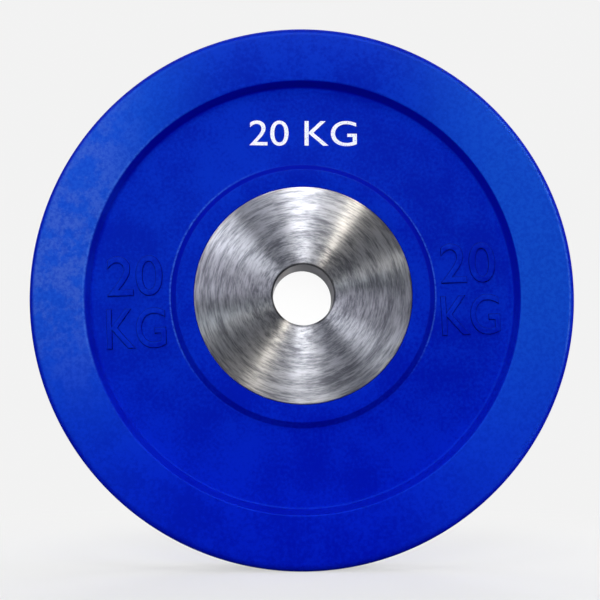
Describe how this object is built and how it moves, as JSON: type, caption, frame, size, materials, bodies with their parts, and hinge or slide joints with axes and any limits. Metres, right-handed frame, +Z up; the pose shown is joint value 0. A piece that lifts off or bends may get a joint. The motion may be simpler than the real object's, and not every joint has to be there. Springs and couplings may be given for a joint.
{
  "type": "bumper plate",
  "caption": "Blue rubber bumper plate with a raised rim, a recessed field, a low collar and a turned steel hub with a plain centre bore, standing on its tread.",
  "frame": {"origin": "on the axis of the bore, halfway between the two rim faces, which is also the centre of the plate's box", "axes": "+Y along the bore from the front face to the rear face, so the front looks along -Y; +Z up, with the plate standing on its tread at -Z; +X to the right seen from the front"},
  "size_m": [0.45, 0.06, 0.45],
  "materials": {
    "blue_rubber": "satin",
    "turned_steel": "satin",
    "sleeve_steel": "satin",
    "mill_steel": "matte",
    "zinc_steel": "satin"
  },
  "bodies": {
    "root": {"rubber_plate": "blue_rubber", "core_plate": "mill_steel", "front_hub_disc": "turned_steel", "rear_hub_disc": "turned_steel", "bore_sleeve": "sleeve_steel", "threaded_pillar_1": "zinc_steel", "threaded_pillar_2": "zinc_steel", "threaded_pillar_3": "zinc_steel", "threaded_pillar_4": "zinc_steel", "threaded_pillar_5": "zinc_steel", "threaded_pillar_6": "zinc_steel", "hub_screw_1": "zinc_steel", "hub_screw_2": "zinc_steel", "hub_screw_3": "zinc_steel", "hub_screw_4": "zinc_steel", "hub_screw_5": "zinc_steel", "hub_screw_6": "zinc_steel"}
  },
  "joints": []
}
